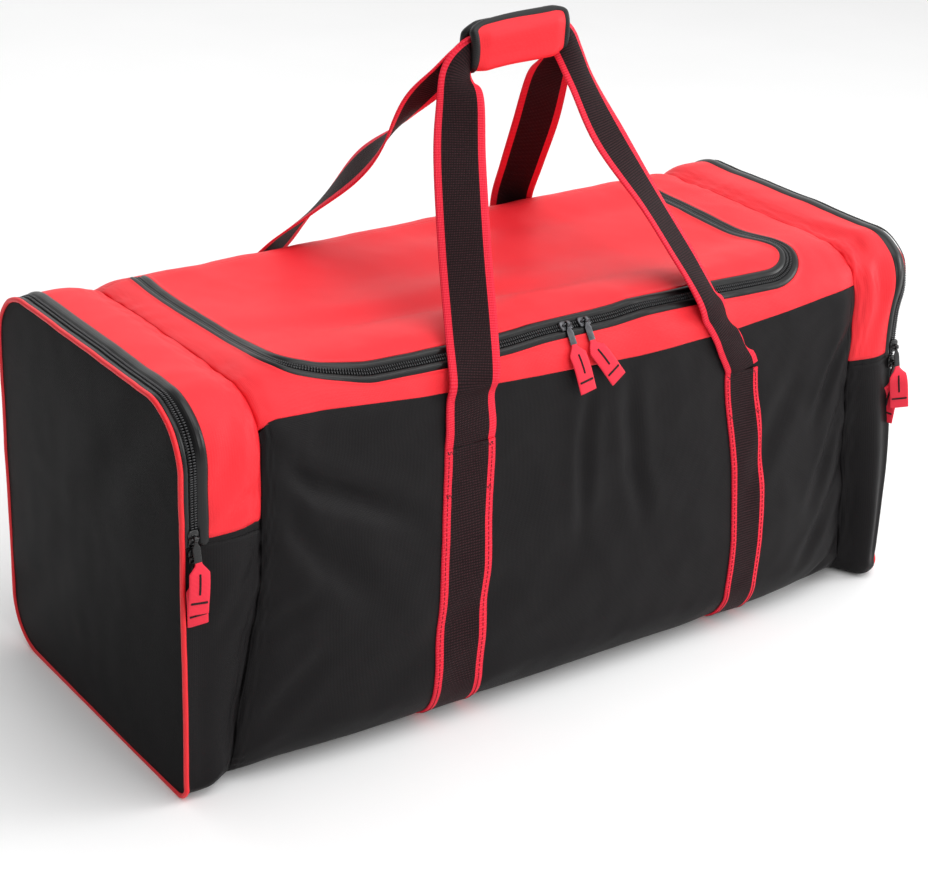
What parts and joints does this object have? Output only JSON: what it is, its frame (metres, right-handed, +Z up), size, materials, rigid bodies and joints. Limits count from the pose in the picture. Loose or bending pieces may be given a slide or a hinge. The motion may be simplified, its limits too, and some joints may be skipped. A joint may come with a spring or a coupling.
{
  "type": "equipment bag",
  "caption": "Large boxy soft equipment bag with a U-shaped zipped lid, a zipped pocket at each end and two webbing handles joined by a padded wrap.",
  "frame": {"origin": "middle of the footprint, on the ground", "axes": "+X along the bag, -Y its front with the zip sliders, +Z up"},
  "size_m": [0.914, 0.4142, 0.6643],
  "materials": {
    "red_polyester": "coated woven polyester, slight sheen",
    "black_polyester": "coated woven polyester, slight sheen",
    "black_lining": "plain woven lining",
    "red_piping": "bias tape over a cord",
    "webbing": "ribbed webbing with coloured edges",
    "zip_tape": "knitted tape",
    "zip_coil": "nylon coil",
    "slider_grey": "gunmetal plated die casting",
    "slider_black": "black lacquered die casting",
    "pull_ribbon": "grosgrain ribbon",
    "black_binding": "bias tape",
    "thread": "bonded thread"
  },
  "bodies": {
    "root": {"front_panel": "black_polyester", "back_panel": "black_polyester", "bottom_panel": "black_polyester", "top_frame": "red_polyester", "left_divider": "black_lining", "right_divider": "black_lining", "left_gusset_lower": "black_polyester", "right_gusset_lower": "black_polyester", "left_gusset_top": "red_polyester", "right_gusset_top": "red_polyester", "left_end_panel": "black_polyester", "right_end_panel": "black_polyester", "left_piping": "red_piping", "right_piping": "red_piping", "left_gusset_zip_tape": "zip_tape", "right_gusset_zip_tape": "zip_tape", "left_gusset_zip_coil": "zip_coil", "right_gusset_zip_coil": "zip_coil", "opening_zip_tape": "zip_tape", "opening_zip_coil": "zip_coil", "left_strap": "webbing", "right_strap": "webbing", "bar_tacks": "thread"},
    "lid": {"lid_panel": "red_polyester", "lid_zip_tape": "zip_tape", "lid_zip_coil": "zip_coil"},
    "lid_left_slider": {"lid_left_slider": "slider_grey"},
    "lid_left_pull": {"lid_left_puller": "slider_grey", "lid_left_ribbon": "pull_ribbon"},
    "lid_right_slider": {"lid_right_slider": "slider_grey"},
    "lid_right_pull": {"lid_right_puller": "slider_grey", "lid_right_ribbon": "pull_ribbon"},
    "left_flap": {"left_flap_panel": "black_polyester", "left_flap_piping": "red_piping", "left_flap_zip_tape": "zip_tape", "left_flap_zip_coil": "zip_coil"},
    "left_lower_slider": {"left_lower_slider": "slider_black"},
    "left_lower_pull": {"left_lower_puller": "slider_black", "left_lower_ribbon": "pull_ribbon"},
    "left_upper_slider": {"left_upper_slider": "slider_black"},
    "left_upper_pull": {"left_upper_puller": "slider_black", "left_upper_ribbon": "pull_ribbon"},
    "right_flap": {"right_flap_panel": "black_polyester", "right_flap_piping": "red_piping", "right_flap_zip_tape": "zip_tape", "right_flap_zip_coil": "zip_coil"},
    "right_lower_slider": {"right_lower_slider": "slider_black"},
    "right_lower_pull": {"right_lower_puller": "slider_black", "right_lower_ribbon": "pull_ribbon"},
    "right_upper_slider": {"right_upper_slider": "slider_black"},
    "right_upper_pull": {"right_upper_puller": "slider_black", "right_upper_ribbon": "pull_ribbon"},
    "front_handle": {"front_handle": "webbing", "grip_pad": "red_polyester", "grip_binding": "black_binding"},
    "back_handle": {"back_handle": "webbing"},
    "grip_flap": {"grip_flap_pad": "red_polyester", "grip_flap_binding": "black_binding"}
  },
  "joints": [
    {"name": "lid_open", "type": "hinge", "parent": "root", "child": "lid", "pos_m": [0, 0.13785, 0.404], "axis": [-1, 0, 0], "range_deg": [0, 105]},
    {"name": "front_handle_swing", "type": "hinge", "parent": "root", "child": "front_handle", "pos_m": [0.0265, -0.199, 0.3015], "axis": [1, 0, 0], "range_deg": [0, 150]},
    {"name": "back_handle_swing", "type": "hinge", "parent": "root", "child": "back_handle", "pos_m": [0.0265, 0.199, 0.3015], "axis": [-1, 0, 0], "range_deg": [0, 150]},
    {"name": "grip_wrap_open", "type": "hinge", "parent": "front_handle", "child": "grip_flap", "pos_m": [0.044, 0, 0.605], "axis": [-1, 0, 0], "range_deg": [0, 100], "deforming": ["grip_flap_pad", "grip_flap_binding"]},
    {"name": "lid_left_slider_travel", "type": "slide", "parent": "lid", "child": "lid_left_slider", "axis": [-1, 0, 0], "range_m": [0, 0.25]},
    {"name": "lid_left_pull_swing", "type": "hinge", "parent": "lid_left_slider", "child": "lid_left_pull", "pos_m": [-0.009, -0.16845, 0.39514], "axis": [-1, 0, 0], "range_deg": [0, 150]},
    {"name": "lid_right_slider_travel", "type": "slide", "parent": "lid", "child": "lid_right_slider", "axis": [1, 0, 0], "range_m": [0, 0.25]},
    {"name": "lid_right_pull_swing", "type": "hinge", "parent": "lid_right_slider", "child": "lid_right_pull", "pos_m": [0.014, -0.16845, 0.39514], "axis": [-1, 0, 0], "range_deg": [0, 150]},
    {"name": "left_flap_open", "type": "hinge", "parent": "root", "child": "left_flap", "pos_m": [-0.4575, 0, 0.256], "axis": [0, -1, 0], "range_deg": [0, 150]},
    {"name": "left_upper_slider_travel", "type": "slide", "parent": "root", "child": "left_upper_slider", "axis": [0, 0, 1], "range_m": [0, 0.05]},
    {"name": "left_upper_pull_swing", "type": "hinge", "parent": "left_upper_slider", "child": "left_upper_pull", "pos_m": [-0.444, -0.1936, 0.2835], "axis": [-1, 0, 0], "range_deg": [0, 150]},
    {"name": "left_lower_slider_travel", "type": "slide", "parent": "root", "child": "left_lower_slider", "axis": [0, 0, 1], "range_m": [0, 0.025]},
    {"name": "left_lower_pull_swing", "type": "hinge", "parent": "left_lower_slider", "child": "left_lower_pull", "pos_m": [-0.444, -0.1936, 0.2645], "axis": [-1, 0, 0], "range_deg": [0, 150]},
    {"name": "right_flap_open", "type": "hinge", "parent": "root", "child": "right_flap", "pos_m": [0.4575, 0, 0.256], "axis": [0, 1, 0], "range_deg": [0, 150]},
    {"name": "right_upper_slider_travel", "type": "slide", "parent": "root", "child": "right_upper_slider", "axis": [0, 0, 1], "range_m": [0, 0.05]},
    {"name": "right_upper_pull_swing", "type": "hinge", "parent": "right_upper_slider", "child": "right_upper_pull", "pos_m": [0.444, -0.1936, 0.2835], "axis": [-1, 0, 0], "range_deg": [0, 150]},
    {"name": "right_lower_slider_travel", "type": "slide", "parent": "root", "child": "right_lower_slider", "axis": [0, 0, 1], "range_m": [0, 0.025]},
    {"name": "right_lower_pull_swing", "type": "hinge", "parent": "right_lower_slider", "child": "right_lower_pull", "pos_m": [0.444, -0.1936, 0.2645], "axis": [-1, 0, 0], "range_deg": [0, 150]}
  ],
  "couplings": [
    {"joint": "front_handle_swing", "follows": "lid_open", "ratio": 1.42},
    {"joint": "back_handle_swing", "follows": "lid_open", "ratio": 1.42},
    {"joint": "grip_wrap_open", "follows": "lid_open", "ratio": 0.95},
    {"joint": "lid_left_slider_travel", "follows": "lid_open", "m_per_rad": 0.136},
    {"joint": "lid_right_slider_travel", "follows": "lid_open", "m_per_rad": 0.136},
    {"joint": "left_upper_slider_travel", "follows": "left_flap_open", "m_per_rad": 0.018972},
    {"joint": "left_lower_slider_travel", "follows": "left_flap_open", "m_per_rad": 0.009486},
    {"joint": "left_lower_pull_swing", "follows": "left_upper_pull_swing", "ratio": 1},
    {"joint": "right_upper_slider_travel", "follows": "right_flap_open", "m_per_rad": 0.018972},
    {"joint": "right_lower_slider_travel", "follows": "right_flap_open", "m_per_rad": 0.009486},
    {"joint": "right_lower_pull_swing", "follows": "right_upper_pull_swing", "ratio": 1}
  ]
}
